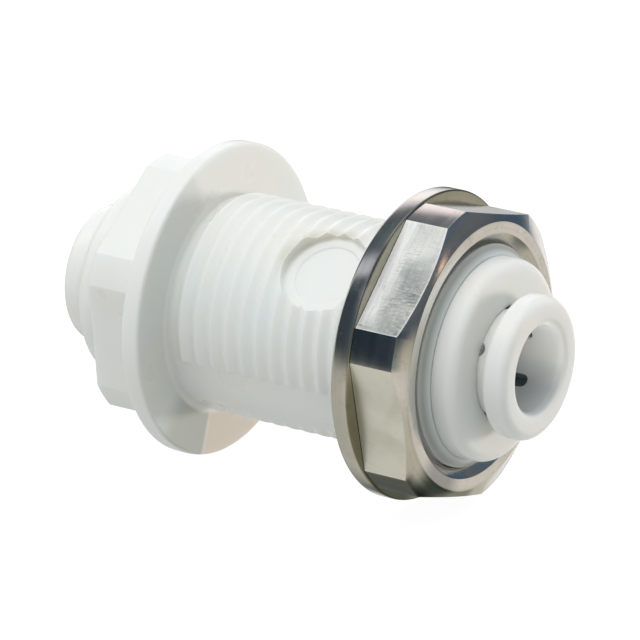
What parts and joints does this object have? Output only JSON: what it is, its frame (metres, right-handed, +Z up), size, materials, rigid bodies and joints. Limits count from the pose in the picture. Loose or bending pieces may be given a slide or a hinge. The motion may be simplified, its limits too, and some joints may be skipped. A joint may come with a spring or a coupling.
{
  "type": "thru hull tube fitting",
  "caption": "Straight bulkhead union for flexible tube: threaded plastic shank with a round flange and hexagon, metal lock nut and washer, and a push-in collet at each end.",
  "frame": {"origin": "centre of the flange face that seats on the hull", "axes": "+X along the fitting's axis from the hexagon end towards the lock nut end, +Z up, +Y to the back"},
  "size_m": [0.039, 0.0238, 0.0239],
  "materials": {
    "body_plastic": "moulded white acetal, satin to glossy",
    "cap_plastic": "moulded white acetal, satin to glossy",
    "collet_plastic": "moulded white acetal, satin to glossy",
    "ring_plastic": "moulded white acetal, matte",
    "tooth_steel": "stamped stainless steel",
    "seal_rubber": "black nitrile rubber",
    "washer_metal": "nickel-plated brass, worn",
    "nut_metal": "nickel-plated brass with milled flats, worn"
  },
  "bodies": {
    "body": {"bulkhead_body": "body_plastic", "left_cap": "cap_plastic", "right_cap": "cap_plastic", "left_o_ring": "seal_rubber", "right_o_ring": "seal_rubber", "left_backup_ring": "ring_plastic", "right_backup_ring": "ring_plastic"},
    "right_collet": {"right_collet": "collet_plastic", "right_grip_teeth": "tooth_steel"},
    "left_collet": {"left_collet": "collet_plastic", "left_grip_teeth": "tooth_steel"},
    "washer": {"nut_washer": "washer_metal"},
    "nut": {"lock_nut": "nut_metal"}
  },
  "joints": [
    {"name": "right_collet_press", "type": "slide", "parent": "body", "child": "right_collet", "axis": [-1, 0, 0], "range_m": [0, 0.001]},
    {"name": "left_collet_press", "type": "slide", "parent": "body", "child": "left_collet", "axis": [1, 0, 0], "range_m": [0, 0.001]},
    {"name": "nut_travel", "type": "slide", "parent": "body", "child": "washer", "axis": [1, 0, 0], "range_m": [-0.0166, 0.0045]},
    {"name": "nut_spin", "type": "hinge", "parent": "washer", "child": "nut", "pos_m": [0.0202, 0, 0], "axis": [1, 0, 0], "range_deg": [-4440, 1080]}
  ],
  "couplings": [
    {"joint": "nut_travel", "follows": "nut_spin", "m_per_rad": 0.00021279}
  ]
}
